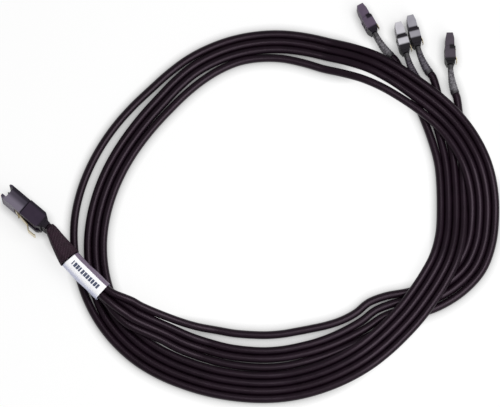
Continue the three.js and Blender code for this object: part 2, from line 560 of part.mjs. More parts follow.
function makeDrivePlug(drive) {
  const { name, place, heading } = drive;
  const plug = new THREE.Group();
  plug.position.set(place[0], place[1], 0);
  plug.rotation.z = deg(heading);
  const middle = DRIVE_WIDTH / 2;
  const half = DRIVE_THICKNESS / 2;
  const noseEnd = DRIVE_GRIP_LENGTH + DRIVE_NOSE_LENGTH;
  const noseHalf = DRIVE_NOSE_THICKNESS / 2;
  const latchFront = DRIVE_GRIP_LENGTH + DRIVE_LATCH_SHARE * DRIVE_NOSE_LENGTH;

  // The wafer is as long as its row of contacts, the slot fits the wafer, and the nose fits the slot
  const waferSpan = (CONTACT_COUNT - 1) * CONTACT_PITCH + CONTACT_WIDTH + 2 * CONTACT_RECESS.side;
  const slotSpan = waferSpan + 2 * SEAT + DRIVE_SLOT_GAP;
  const slotLow = middle - slotSpan / 2;
  const slotHigh = middle + slotSpan / 2;
  const slotStart = noseEnd - DRIVE_SLOT_DEPTH;
  const slotHalf = DRIVE_SLOT_GAP / 2;

  // Housing: waisted grip with ribs, slimmer nose, L-shaped slot, pocket for the relief's peg
  let housing = plate(shouldered(DRIVE_SHOULDER, DRIVE_GRIP_LENGTH, half), 0, DRIVE_WIDTH);
  housing = stepped(housing, DRIVE_REAR_STEP.length, DRIVE_REAR_STEP.depth, half, DRIVE_WIDTH);
  housing = ribbed(housing, DRIVE_RIBS, DRIVE_SHOULDER.length + DRIVE_RIBS.width, half, DRIVE_WIDTH);
  const taper = { length: DRIVE_NOSE_TAPER.length, depth: noseHalf - DRIVE_NOSE_TAPER.tip / 2 };
  housing = housing.add(plate(chamfered(DRIVE_GRIP_LENGTH - PAST, noseEnd, noseHalf, taper),
    slotLow - DRIVE_NOSE_WALL, slotHigh + DRIVE_NOSE_WALL));
  const peg = RELIEF_PEG;
  const latchCut = latchRoom(DRIVE_LATCH, DRIVE_CHANNEL_REACH)
    .mirror([0, 1, 0])
    .translate([latchFront, -noseHalf, middle]);
  housing = housing
    .subtract(block([slotStart, -slotHalf, slotLow], [noseEnd + PAST, slotHalf, slotHigh]))
    .subtract(block([slotStart, -slotHalf, slotHigh - DRIVE_SLOT_GAP],
      [noseEnd + PAST, slotHalf + DRIVE_SLOT_FOOT, slotHigh]))
    .subtract(block([-PAST, -peg.thickness / 2 - SEAT, middle - peg.width / 2 - SEAT],
      [peg.length + SEAT, peg.thickness / 2 + SEAT, middle + peg.width / 2 + SEAT]))
    .subtract(latchCut);
  plug.add(named(`${name}_housing`, housing, greyPlastic));

  // Contact wafer along one wall of the slot
  const waferStart = slotStart + SEAT;
  const waferEnd = waferStart + WAFER_LENGTH;
  const waferLow = slotLow + SEAT;
  const waferWall = -slotHalf + SEAT / 2;
  const contactTop = waferWall + WAFER_THICKNESS + CONTACT_HEIGHT;
  let wafer = block([waferStart, waferWall, waferLow],
    [waferEnd, waferWall + WAFER_THICKNESS, waferLow + waferSpan]);
  for (let k = 0; k < CONTACT_COUNT; k++) {
    const z = waferLow + CONTACT_RECESS.side + k * CONTACT_PITCH;
    wafer = wafer.add(block([waferStart + CONTACT_RECESS.rear, waferWall, z],
      [waferEnd - CONTACT_RECESS.front, contactTop, z + CONTACT_WIDTH]));
  }
  plug.add(named(`${name}_wafer`, wafer, waferPlastic));

  const latch = new THREE.Group();
  latch.position.set(latchFront, -noseHalf, middle);
  latch.add(named(`${name}_latch`, latchShape(DRIVE_LATCH).mirror([0, 1, 0]), springSteel));
  plug.add(latch);

  // Strain relief: a flat root that rounds, bends and sinks to the strand on the table
  const rings = Array.from({ length: RELIEF_STEPS }, (_, k) => {
    const share = k / (RELIEF_STEPS - 1);
    const way = reliefWay(drive, share);
    const at = reliefMiddle(drive, share).addScaledVector(way, SEAT * (1 - share));
    return ring(at, new THREE.Vector3(-way.y, way.x, 0),
      mix(RELIEF_ROOT.thickness, RELIEF_END.diameter, ease(share)),
      mix(RELIEF_ROOT.width, RELIEF_END.diameter, share),
      mix(RELIEF_ROOT.power, 2, share), RELIEF_SIDES);
  });
  const relief = loft(rings).add(block([-SEAT - PAST, -peg.thickness / 2, middle - peg.width / 2],
    [peg.length, peg.thickness / 2, middle + peg.width / 2]));
  plug.add(named(`${name}_relief`, relief, reliefRubber));
  return plug;
}

// A hollow wrap round the bundle between two places on the lead
function wrap(from, to, steps, sizeAt, wall) {
  const [outer, inner] = [[], []];
  for (let k = 0; k <= steps; k++) {
    const share = mix(from, to, k / steps);
    const { middle, side } = leadFrame(share);
    const { thickness, width, power } = sizeAt(k / steps);
    outer.push(ring(middle, side, thickness, width, power, WRAP_SIDES));
    inner.push(ring(middle, side, thickness - 2 * wall, width - 2 * wall, power, WRAP_SIDES));
  }
  const pushed = (rings, at, towards) => {
    const shift = rings[at][0].clone().sub(rings[towards][0]).setLength(PAST);
    return rings[at].map((p) => p.clone().add(shift));
  };
  const bore = [pushed(inner, 0, 1), ...inner, pushed(inner, steps, steps - 1)];
  return loft(outer).subtract(loft(bore));
}

const sleeveThickness = STRAND_DIAMETER + 2 * (SLEEVE_PLAY + SLEEVE_WALL);
const sleeveWidth = 3 * STRAND_PITCH + sleeveThickness;
const sleeve = wrap(SLEEVE_START_SHARE, SLEEVE_END_SHARE, SLEEVE_STEPS, (t) => ({
  thickness: mix(sleeveThickness, SLEEVE_END, t),
  width: mix(sleeveWidth, SLEEVE_END, ease(t)),
  power: mix(...SLEEVE_POWERS, t),
}), SLEEVE_WALL);
const label = wrap(LABEL_START_SHARE, LABEL_END_SHARE, LABEL_STEPS, () => ({
  thickness: LABEL_SIZE, width: LABEL_SIZE, power: LABEL_POWER,
}), LABEL_WALL);

const cable = new THREE.Group();
cable.position.set(...CABLE_PLACE, 0);
cable.add(makeSasPlug());
cable.add(named("strand_sleeve", sleeve, sleeveFabric));
cable.add(named("wrap_label", label, labelFilm));
for (let strand = 0; strand < 4; strand++) cable.add(makeStrand(strand));
for (const plug of DRIVE_PLUGS) cable.add(makeDrivePlug(plug));

export default cable;
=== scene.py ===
import math

import bmesh
import bpy
import numpy as np
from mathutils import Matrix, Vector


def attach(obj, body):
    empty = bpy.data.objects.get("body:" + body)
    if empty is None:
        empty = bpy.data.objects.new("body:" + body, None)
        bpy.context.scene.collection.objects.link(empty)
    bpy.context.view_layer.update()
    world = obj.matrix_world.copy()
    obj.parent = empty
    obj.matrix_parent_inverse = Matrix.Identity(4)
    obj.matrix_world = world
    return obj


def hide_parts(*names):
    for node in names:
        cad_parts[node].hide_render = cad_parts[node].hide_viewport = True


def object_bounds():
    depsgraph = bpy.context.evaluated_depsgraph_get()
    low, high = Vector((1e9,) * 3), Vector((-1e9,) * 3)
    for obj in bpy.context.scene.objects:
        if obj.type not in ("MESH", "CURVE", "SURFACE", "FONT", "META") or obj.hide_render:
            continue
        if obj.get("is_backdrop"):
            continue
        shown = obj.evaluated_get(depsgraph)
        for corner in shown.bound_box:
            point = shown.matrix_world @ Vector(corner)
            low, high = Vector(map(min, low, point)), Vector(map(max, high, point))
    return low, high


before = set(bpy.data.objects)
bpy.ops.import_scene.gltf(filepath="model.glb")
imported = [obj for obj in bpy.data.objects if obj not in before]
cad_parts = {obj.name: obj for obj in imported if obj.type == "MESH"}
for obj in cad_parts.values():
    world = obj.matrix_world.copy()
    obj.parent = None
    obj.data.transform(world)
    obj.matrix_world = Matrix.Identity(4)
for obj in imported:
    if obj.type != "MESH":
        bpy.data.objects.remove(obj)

cad_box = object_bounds()

# Table, light and camera.
# The cable lies on a plain white table under a soft lamp, a wide fill lamp and an even white room. The
# table shows white to the eye and keeps a faint shadow, with a painted contact shade where occlusion
# darkens its glow beside what touches it, and the camera looks down on it steeply, as the photograph does.

MM = 0.001
FRAME_WIDTH = 275 * MM  # what the picture spans at the table
LOOK_AT = np.array([10.4, -27.4, 0]) * MM
ELEVATION = math.radians(80)
CAMERA_DISTANCE = 3.0
SENSOR_WIDTH = 36
TABLE_REACH = 3
TABLE_DROP = 0.1 * MM  # keeps the table's face clear of what lies on it
TABLE_GLOW = 0.8  # the share of its look that shines white to the camera and leaves a soft shadow
PAINTED_CONTACT_SHADE = 5 * MM  # how far the painted contact shade reaches, where occlusion darkens the table's glow
ROOM_LIGHT = 0.42
# Name, place, size and power in watts
LAMPS = [("softbox", (0.3, -0.12, 0.66), 0.5, 4.4),
         ("fill", (0.55, -0.75, 0.8), 0.7, 2.6)]


def srgb(hex_colour):
    """Linear red, green and blue of an sRGB hex colour."""
    parts = [int(hex_colour[k:k + 2], 16) / 255 for k in (1, 3, 5)]
    return [c / 12.92 if c <= 0.04045 else ((c + 0.055) / 1.055) ** 2.4 for c in parts] + [1.0]


def add(tree, kind, settings=None, **inputs):
    """One shader node: settings are its properties, inputs are values or sockets to link.
    A space in a socket's name is written as an underscore."""
    made = tree.nodes.new(kind)
    for name, value in (settings or {}).items():
        setattr(made, name, value)
    for name, value in inputs.items():
        socket = made.inputs[int(name[1:])] if name[0] == "i" and name[1:].isdigit() else None
        socket = socket or made.inputs[name.replace("_", " ")]
        if isinstance(value, bpy.types.NodeSocket):
            tree.links.new(value, socket)
        else:
            socket.default_value = value
    return made


def new_material(name):
    """A material with an empty node tree and its output node."""
    material = bpy.data.materials.new(name)
    material.use_nodes = True
    material.node_tree.nodes.clear()
    return material, material.node_tree, material.node_tree.nodes.new("ShaderNodeOutputMaterial")


def object_from(name, vertices, faces, material, smooth=True):
    """A mesh object at the origin, with its place in its vertices."""
    mesh = bpy.data.meshes.new(name)
    mesh.from_pydata(np.asarray(vertices, float).tolist(), [], faces)
    mesh.polygons.foreach_set("use_smooth", [smooth] * len(mesh.polygons))
    mesh.materials.append(material)
    made = bpy.data.objects.new(name, mesh)
    bpy.context.scene.collection.objects.link(made)
    return made


table_white, tree, output = new_material("matt white table")
seen = add(tree, "ShaderNodeLightPath")
diffuse = add(tree, "ShaderNodeBsdfDiffuse", Color=srgb("#f4f4f4"))
# The glow's colour is darkened by occlusion beside what touches the table: a painted contact shade.
open_sky = add(tree, "ShaderNodeAmbientOcclusion", {"samples": 8}, Distance=PAINTED_CONTACT_SHADE)
glow = add(tree, "ShaderNodeEmission", Color=open_sky.outputs["Color"], Strength=1.0)
lift = add(tree, "ShaderNodeMath", {"operation": "MAXIMUM"},
           i0=seen.outputs["Is Camera Ray"], i1=seen.outputs["Is Glossy Ray"])
share = add(tree, "ShaderNodeMath", {"operation": "MULTIPLY"}, i0=lift.outputs[0], i1=TABLE_GLOW)
mixed = add(tree, "ShaderNodeMixShader", i0=share.outputs[0], i1=diffuse.outputs[0], i2=glow.outputs[0])
tree.links.new(mixed.outputs[0], output.inputs["Surface"])
corners = [[x * TABLE_REACH, y * TABLE_REACH, -TABLE_DROP] for x, y in ((-1, -1), (1, -1), (1, 1), (-1, 1))]
table = object_from("table", corners, [(0, 1, 2, 3)], table_white, smooth=False)
table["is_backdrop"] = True

world = bpy.data.worlds.new("studio")
bpy.context.scene.world = world
world.use_nodes = True
tree = world.node_tree
tree.nodes.clear()
seen = add(tree, "ShaderNodeLightPath")
room = add(tree, "ShaderNodeBackground", Color=(1, 1, 1, 1), Strength=ROOM_LIGHT)
white = add(tree, "ShaderNodeBackground", Color=(1, 1, 1, 1), Strength=1.0)
mixed = add(tree, "ShaderNodeMixShader", i0=seen.outputs["Is Camera Ray"],
            i1=room.outputs[0], i2=white.outputs[0])
add(tree, "ShaderNodeOutputWorld", Surface=mixed.outputs[0])

for name, place, size, power in LAMPS:
    lamp = bpy.data.lights.new(name, "AREA")
    lamp.size = size
    lamp.energy = power
    lamp_object = bpy.data.objects.new(name, lamp)
    bpy.context.scene.collection.objects.link(lamp_object)
    lamp_object.location = place
    aim = -np.array(place)
    lamp_object.rotation_euler = (math.atan2(math.hypot(aim[0], aim[1]), -aim[2]), 0,
                                  math.atan2(-aim[0], aim[1]))

camera = bpy.data.cameras.new("camera")
camera.sensor_width = SENSOR_WIDTH
camera.lens = SENSOR_WIDTH * CAMERA_DISTANCE / FRAME_WIDTH
camera_object = bpy.data.objects.new("camera", camera)
bpy.context.scene.collection.objects.link(camera_object)
back = np.array([0, -math.cos(ELEVATION), math.sin(ELEVATION)])
camera_object.location = LOOK_AT + CAMERA_DISTANCE * back
camera_object.rotation_euler = (math.pi / 2 - ELEVATION, 0, 0)
bpy.context.scene.camera = camera_object
bpy.context.scene.view_settings.view_transform = "Standard"

# Strands.
# Four round data strands with an extruded black PVC jacket, 4 mm thick. They leave the wide plug in an
# upright row, turn into a square bundle, then lie side by side through one and a half turns of coil,
# and each one slips under the others to its own drive plug.

CABLE_PLACE = np.array([-1.2, 0.2, 0])
STRAND_DIAMETER = 4
STRAND_PITCH = 4.3
JACKET_RADIUS = 2.19  # drawn thicker than the solids, so that strands side by side touch
JACKET_TONES = ["#080407", "#0b0509", "#070307", "#0c060b"]
JACKET_PALER = "#170b15"
JACKET_SHEEN = "#ecd4e8"
JACKET_CLOUDS = 160.0  # patches of tone to a metre
JACKET_ROUGHNESS = (0.3, 0.42)
DIE_LINES = 22  # round a jacket
DIE_LINE_DEPTH = 0.06 * MM
STRAND_SIDES = 28
STRAND_STEPS = 5  # mesh rings between two points of the route
STRAIGHT_RUN = 2.5  # how far a strand stands straight out of its plug
SEAT = 0.3  # how far it starts inside the plug
LEAD_STEPS = 60
LEAD_REACH = 0.05  # each way along the lead, to find its direction
WIDE_PLACE = np.array([-101, -41.6, 0])
WIDE_HEADING = math.radians(139.6)
WIDE_FORWARD = np.array([math.cos(WIDE_HEADING), math.sin(WIDE_HEADING), 0])
WIDE_WIDTH = 22
COMB_BACK = 2.4
# Shares of the lead where the label ends and where the row has become a square, and how far the square
# has turned down into a level row by the lead's end
LABEL_END_SHARE = 0.68
BUNDLE_TURN_SHARE = 0.28
LEAD_FALL = 0.75
LEAD_CUTS = [0, 0.04, 0.08, 0.12, 0.16, 0.2, 0.24, 0.28, 0.36, 0.44, 0.52, 0.6, 0.68, 0.76, 0.84, 0.92, 1]
LEAD = [[-93.4, -50.7, 11], [-87, -59.9, 10.7], [-80.6, -66.8, 10.5], [-74, -73.3, 10.5],
        [-67.2, -79.8, 10.5], [-60, -85.6, 10], [-51, -91.5, 8.8]]
COIL_CENTRE = [29.3, -36]
COIL_STEP_DEG = 15
COIL_START_DEG = 225
COIL_CUTS = 2
COIL_EDGE = [119, 119, 115, 109, 106, 104, 105, 105.5, 105, 104, 107, 111.5, 116, 118, 118, 115,
             109.5, 105, 102, 99.5, 99, 101.5, 109.5, 117]
# The outermost strand's lane, the gaps outside the second and inside the third strand, and the height
COIL_LAY = np.array([
    [4, 0, 1, 0.75], [4, 0, 3.4, 0], [4, 0.3, 4.4, 0], [4, 0.4, 4.4, 0], [4, 0, 3.6, 0], [3.8, 0, 1.4, 0],
    [2.9, 0, 0.4, 0], [1.4, 0, 0.3, 0], [0.3, 0, 0, 0], [0, 0, 0, 0.1], [0, 0, 0, 1], [0, 0, 0, 1],
    [0, 0, 0.6, 1.25], [0, 0, 2.2, 1.25], [0, 0, 2.6, 0], [0, 0, 0.9, 0], [0, 0, 0, 0], [0, 0.4, 1.2, 0],
    [0, 2, 0.5, 0], [0, 3.8, 0, 0], [0, 4.4, 0, 0], [0, 4.2, 0, 0], [0, 2, 0, 0], [0, 0, 0, 0],
    [0, 0, 0, 0], [0, 0, 0, 0], [0, 0, 0, 0], [0, 0, 0, 0], [0, 0, 0, 0.5], [0.3, 0, 0, 1],
    [1.2, 0, 0, 1], [2.8, 0, 0, 1], [3.8, 0, 0, 1], [4, 0, 0, 0.3]])
TAILS = [[[128.4, -8, 2], [127.8, 10, 2]],
         [[124, -8, 2], [121.4, 8, 2], [117.2, 25, 2]],
         [[119.7, -8, 2], [116.5, 8, 2], [111.6, 24, 2]],
         [[115.4, -8, 2], [111.4, 8, 2], [105.4, 24, 2], [98.4, 40, 2]]]
DRIVE_PLUGS = [{"place": (122, 48.4), "heading": 91.5, "sweep": -2.4},
               {"place": (104, 58.7), "heading": 104.2, "sweep": -3.2},
               {"place": (97.7, 54.9), "heading": 105.5, "sweep": -2.4},
               {"place": (80.3, 66.4), "heading": 118.5, "sweep": -2.4}]
DRIVE_WIDTH = 14.4
RELIEF_LENGTH = 15
RELIEF_END_HEIGHT = 2.5


def ease(t):
    """Smooth step: three times the square less twice the cube."""
    return t * t * (3 - 2 * t)


def along(values, place):
    """Catmull-Rom value of an evenly spaced list at places between its entries."""
    values = np.asarray(values, float)
    low = np.floor(place).astype(int)
    t = place - low
    a, b, c, d = (values[np.clip(low + k, 0, len(values) - 1)] for k in (-1, 0, 1, 2))
    return b + 0.5 * t * (c - a + t * (2 * a - 5 * b + 4 * c - d + t * (3 * (b - c) + d - a)))


def spline(points, steps):
    """Centripetal Catmull-Rom curve through the points, with the given steps between two of them.
    Each end is drawn on by its own first or last difference."""
    p = np.asarray(points, float)
    p = np.vstack([2 * p[0] - p[1], p, 2 * p[-1] - p[-2]])
    gap = np.maximum(np.linalg.norm(np.diff(p, axis=0), axis=1) ** 0.5, 1e-4)
    d0, d1, d2 = gap[:-2, None], gap[1:-1, None], gap[2:, None]
    p0, p1, p2, p3 = p[:-3], p[1:-2], p[2:-1], p[3:]
    t1 = ((p1 - p0) / d0 - (p2 - p0) / (d0 + d1) + (p2 - p1) / d1) * d1
    t2 = ((p2 - p1) / d1 - (p3 - p1) / (d1 + d2) + (p3 - p2) / d2) * d1
    t = np.arange(steps)[None, :, None] / steps
    curve = (p1[:, None] + t1[:, None] * t
             + (-3 * p1 + 3 * p2 - 2 * t1 - t2)[:, None] * t ** 2
             + (2 * p1 - 2 * p2 + t1 + t2)[:, None] * t ** 3)
    return np.vstack([curve.reshape(-1, 3), p2[-1]])


lead_start = WIDE_PLACE + [0, 0, WIDE_WIDTH / 2] - WIDE_FORWARD * (COMB_BACK + SEAT)
lead_line = spline([lead_start, lead_start - WIDE_FORWARD * STRAIGHT_RUN] + LEAD, LEAD_STEPS)
lead_run = np.append(0, np.cumsum(np.linalg.norm(np.diff(lead_line, axis=0), axis=1)))


def lead_at(share):
    """Points of the lead at shares of its length, and the level directions to their left."""
    share = np.atleast_1d(np.asarray(share, float))
    reach = share * lead_run[-1]
    middle = np.stack([np.interp(reach, lead_run, lead_line[:, k]) for k in range(3)], axis=1)
    before, after = (np.stack([np.interp(np.clip(reach + s, 0, lead_run[-1]), lead_run, lead_line[:, k])
                               for k in range(3)], axis=1) for s in (-LEAD_REACH, LEAD_REACH))
    way = after - before
    way[share == 0] = -WIDE_FORWARD
    side = np.stack([-way[:, 1], way[:, 0], np.zeros(len(way))], axis=1)
    return middle, side / np.linalg.norm(side, axis=1, keepdims=True)


def bundle(strand, share):
    """Place of a strand about the lead, sideways and up: an upright row that turns in pairs into a
    square, whose pairs then turn down into a level row."""
    p = STRAND_PITCH
    upper = 1 if strand in (1, 3) else -1
    inner = 1 if strand > 1 else -1
    if share < LABEL_END_SHARE:
        angle = math.radians(90 * (1 - ease(min(1, share / BUNDLE_TURN_SHARE))))
        return (inner * p * math.cos(angle) / 2,
                upper * p * (1 + math.sin(angle)) / 2 + inner * p * math.sin(angle) / 2)
    fall = ease((share - LABEL_END_SHARE) / (1 - LABEL_END_SHARE)) * LEAD_FALL
    angle = math.radians(90 * (1 - fall))
    return (inner * p * (1 + math.cos(angle)) / 2 + upper * p * math.cos(angle) / 2,
            upper * p * math.sin(angle) / 2)


def coil_points(strand):
    """Places of a strand in the coil: a radius that follows the outer edge less its lane, at even
    angles, and a height of nought on the table or one strand up."""
    stations = np.arange((len(COIL_LAY) - 1) * COIL_CUTS + 1) / COIL_CUTS
    first = COIL_START_DEG // COIL_STEP_DEG
    edges = [COIL_EDGE[(k + first) % len(COIL_EDGE)] for k in range(len(COIL_LAY))]

    def middle_radius(place):
        return along(edges, place) - (along(COIL_LAY[:, 0], place) + 1.5) * STRAND_PITCH

    slope = (middle_radius(stations + 0.5) - middle_radius(stations - 0.5)) / (
        middle_radius(stations) * math.radians(COIL_STEP_DEG))
    lane, outer_gap, inner_gap, height = (along(COIL_LAY[:, k], stations) for k in range(4))
    gaps = outer_gap * (strand > 0) + inner_gap * (strand > 2)
    radius = (along(edges, stations) - gaps
              - (STRAND_DIAMETER / 2 + (lane + strand) * STRAND_PITCH) * (1 + slope ** 2))
    angle = np.radians(COIL_START_DEG + stations * COIL_STEP_DEG)
    return np.stack([COIL_CENTRE[0] + radius * np.cos(angle), COIL_CENTRE[1] + radius * np.sin(angle),
                     STRAND_DIAMETER / 2 + np.maximum(height, 0) * STRAND_PITCH], axis=1)


def turned(points, heading_deg):
    """Points turned about the upright axis."""
    c, s = math.cos(math.radians(heading_deg)), math.sin(math.radians(heading_deg))
    points = np.asarray(points, float)
    return np.stack([points[..., 0] * c - points[..., 1] * s,
                     points[..., 0] * s + points[..., 1] * c, points[..., 2]], axis=-1)


def relief_middle(plug, share):
    """Middle line of a drive plug's strain relief in the plug's own frame, sinking to the table."""
    share = np.asarray(share, float)
    return np.stack([-share * RELIEF_LENGTH, plug["sweep"] * share ** 2,
                     DRIVE_WIDTH / 2 + (RELIEF_END_HEIGHT - DRIVE_WIDTH / 2) * ease(share)], axis=-1)


def relief_way(plug, share):
    """Direction of that line over the table, backwards."""
    share = np.asarray(share, float)
    way = np.stack([np.full(share.shape, -RELIEF_LENGTH), 2 * plug["sweep"] * share, 0 * share], axis=-1)
    return way / np.linalg.norm(way, axis=-1, keepdims=True)


def strand_end(plug, short):
    """Where a strand meets its relief, or a given length short of that."""
    end = relief_middle(plug, 1.0) + relief_way(plug, 1.0) * (SEAT + short)
    return turned(end, plug["heading"]) + [*plug["place"], 0]


def strand_route(strand):
    """The points that a strand follows, in millimetres: the lead, the coil and its tail."""
    middle, side = lead_at(LEAD_CUTS)
    offsets = np.array([bundle(strand, share) for share in LEAD_CUTS])
    lead = middle + side * offsets[:, :1] + np.array([0, 0, 1]) * offsets[:, 1:]
    plug = DRIVE_PLUGS[strand]
    return np.vstack([lead, coil_points(strand), TAILS[strand],
                      strand_end(plug, STRAIGHT_RUN), strand_end(plug, 0)]) + CABLE_PLACE


def skin(name, rings, material):
    """A smooth surface over rings of points that follow each other, each quad between two rings and two
    neighbours, with a flat lid on the first and last ring. The UV map holds the share of the way round
    and the run along the surface in millimetres."""
    n, sides = rings.shape[:2]
    r, k = np.meshgrid(np.arange(n - 1), np.arange(sides), indexing="ij")
    after = (k + 1) % sides
    quads = np.stack([r * sides + k, (r + 1) * sides + k, (r + 1) * sides + after, r * sides + after],
                     axis=-1).reshape(-1, 4)
    lids = [list(range(sides)), list(range(n * sides - 1, (n - 1) * sides - 1, -1))]
    made = object_from(name, rings.reshape(-1, 3), quads.tolist() + lids, material)
    middle = rings.mean(axis=1)
    run = np.append(0, np.cumsum(np.linalg.norm(np.diff(middle, axis=0), axis=1))) / MM
    corner = np.zeros((len(made.data.loops), 2))
    grid = np.stack([np.stack([k / sides, run[r]], -1), np.stack([k / sides, run[r + 1]], -1),
                     np.stack([(k + 1) / sides, run[r + 1]], -1), np.stack([(k + 1) / sides, run[r]], -1)],
                    axis=2)
    corner[:quads.size] = grid.reshape(-1, 2)
    made.data.uv_layers.new(name="run").data.foreach_set("uv", corner.ravel())
    turn = bmesh.new()
    turn.from_mesh(made.data)
    bmesh.ops.recalc_face_normals(turn, faces=turn.faces)
    turn.to_mesh(made.data)
    turn.free()
    return made


def circles(line, radius, sides):
    """Circles of a radius across a line, square to it and level at the sides."""
    way = np.gradient(line, axis=0)
    way /= np.linalg.norm(way, axis=1, keepdims=True)
    side = np.cross([0, 0, 1], way)
    side /= np.linalg.norm(side, axis=1, keepdims=True)
    over = np.cross(way, side)
    angle = 2 * np.pi * np.arange(sides) / sides
    return (line[:, None] + radius * (np.cos(angle)[None, :, None] * side[:, None]
                                      + np.sin(angle)[None, :, None] * over[:, None]))


def jacket_material(name, colour):
    """Extruded PVC: nearly black, with the soft sheen and faint die lines of an extruded jacket."""
    material, tree, output = new_material(name)
    place = add(tree, "ShaderNodeUVMap", {"uv_map": "run"})
    lines = add(tree, "ShaderNodeMapping", Vector=place.outputs[0], Scale=(DIE_LINES, 0.02, 1))
    die = add(tree, "ShaderNodeTexNoise", Vector=lines.outputs[0], Scale=1.0, Detail=2.0)
    spots = add(tree, "ShaderNodeTexCoord")
    mottle = add(tree, "ShaderNodeTexNoise", Vector=spots.outputs["Object"],
                 Scale=JACKET_CLOUDS, Detail=3.0)
    tint = add(tree, "ShaderNodeMix", {"data_type": "RGBA"}, Factor=mottle.outputs["Fac"],
               i6=srgb(colour), i7=srgb(JACKET_PALER))
    rough = add(tree, "ShaderNodeMapRange", Value=mottle.outputs["Fac"],
                To_Min=JACKET_ROUGHNESS[0], To_Max=JACKET_ROUGHNESS[1])
    bump = add(tree, "ShaderNodeBump", Strength=0.25, Distance=DIE_LINE_DEPTH, Height=die.outputs["Fac"])
    shader = add(tree, "ShaderNodeBsdfPrincipled", Base_Color=tint.outputs[2], Roughness=rough.outputs[0],
                 Specular_IOR_Level=0.26, Specular_Tint=srgb(JACKET_SHEEN), Normal=bump.outputs[0])
    tree.links.new(shader.outputs[0], output.inputs["Surface"])
    return material


strands = []
for strand in range(4):
    route = (strand_route(strand) + [0, 0, JACKET_RADIUS - STRAND_DIAMETER / 2]) * MM
    line = spline(route, STRAND_STEPS)
    line[:, 2] = np.maximum(line[:, 2], JACKET_RADIUS * MM)
    strand_length = float(np.linalg.norm(np.diff(line, axis=0), axis=1).sum())
    jacket = jacket_material(f"extruded PVC {strand + 1}", JACKET_TONES[strand])
    piece = skin(f"strand_{strand + 1}_jacket", circles(line, JACKET_RADIUS * MM, STRAND_SIDES), jacket)
    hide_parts(f"strand_{strand + 1}")
    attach(piece, "cable")
    strands.append((piece, line, strand_length))

# Sleeve.
# A braided polyester sleeve gathers the four strands behind the wide plug. It starts tall and narrow on
# the upright row, opens out as the row turns into a square, and is cut off square at the label.

SLEEVE_WALL = 0.45
SLEEVE_PLAY = 0.35
SLEEVE_END = 12.4  # across and up, at the label
SLEEVE_SHARES = (0.02, 0.3)  # of the lead, where the sleeve starts and ends
SLEEVE_POWERS = (7, 2.6)  # from nearly square corners to round ones
SLEEVE_THICKNESS = STRAND_DIAMETER + 2 * (SLEEVE_PLAY + SLEEVE_WALL)
SLEEVE_WIDTH = 3 * STRAND_PITCH + SLEEVE_THICKNESS
BRAID_ROUND = 20  # yarn bundles of each family round the sleeve
BRAID_PITCH = 1.9
BRAID_DEPTH = 0.28
LIP_DEPTH = 2.5  # how far the inside of each cut end is drawn
SLEEVE_SIDES = 240
SLEEVE_STEPS = 150
SLEEVE_TONES = ("#12070f", "#301a29")
SLEEVE_CLOUDS = 420.0  # patches of tone to a metre
FIBRES = 3800.0  # to a metre
FIBRE_DEPTH = 0.1 * MM
RING_CUTS = 1440  # fine steps that a section is measured in, before its points are spaced evenly


def box_ring(thickness, width, power, sides):
    """Across and up places of a superellipse with evenly spaced points: each half size times the cosine
    or sine, raised to two over the power, with its sign kept."""
    a = 2 * np.pi * (np.arange(RING_CUTS + 1) + 0.5) / RING_CUTS
    reach = 2 / power
    ring = np.stack([thickness / 2 * np.sign(np.cos(a)) * np.abs(np.cos(a)) ** reach,
                     width / 2 * np.sign(np.sin(a)) * np.abs(np.sin(a)) ** reach], axis=1)
    run = np.append(0, np.cumsum(np.linalg.norm(np.diff(ring, axis=0), axis=1)))
    at = np.arange(sides) / sides * run[-1]
    return np.stack([np.interp(at, run, ring[:, 0]), np.interp(at, run, ring[:, 1])], axis=1)


def wrap_rings(shares, steps, sides, size_at, swell, wall):
    """Rings across the lead between two shares of its length, as one skin: inside the first end, out
    over the wrap and into the last end. A swell moves each point outwards by a length in millimetres."""
    outer, inner = [], []
    for k in range(steps + 1):
        t = k / steps
        middle, side = lead_at(shares[0] + (shares[1] - shares[0]) * t)
        thickness, width, power = size_at(t)
        flat = box_ring(thickness, width, power, sides)
        out = flat / np.linalg.norm(flat, axis=1, keepdims=True)
        for rings, place in ((outer, flat + out * swell(t)[:, None]), (inner, flat - out * wall)):
            rings.append(middle + side * place[:, :1] + np.array([0, 0, 1]) * place[:, 1:])
    outer, inner = np.array(outer), np.array(inner)
    reach = lead_run[-1] * (shares[1] - shares[0]) / steps
    deep = max(1, round(LIP_DEPTH / reach))
    return (np.concatenate([inner[deep::-1], outer, inner[:-deep - 2:-1]]) + CABLE_PLACE) * MM


def braid(t):
    """Height of two crossing families of yarn bundles: each is a squared sine across its bundles, and
    in every other cell of the crossing one family lies over the other."""
    around = np.arange(SLEEVE_SIDES) / SLEEVE_SIDES * BRAID_ROUND
    run = t * lead_run[-1] * (SLEEVE_SHARES[1] - SLEEVE_SHARES[0]) / BRAID_PITCH
    one, other = around + run, around - run
    first, second = np.sin(np.pi * one) ** 2, np.sin(np.pi * other) ** 2
    over = (np.floor(one) + np.floor(other)) % 2 == 0
    height = np.where(over, np.maximum(first, 0.5 * second), np.maximum(0.5 * first, second))
    return BRAID_DEPTH * (height - 0.6)


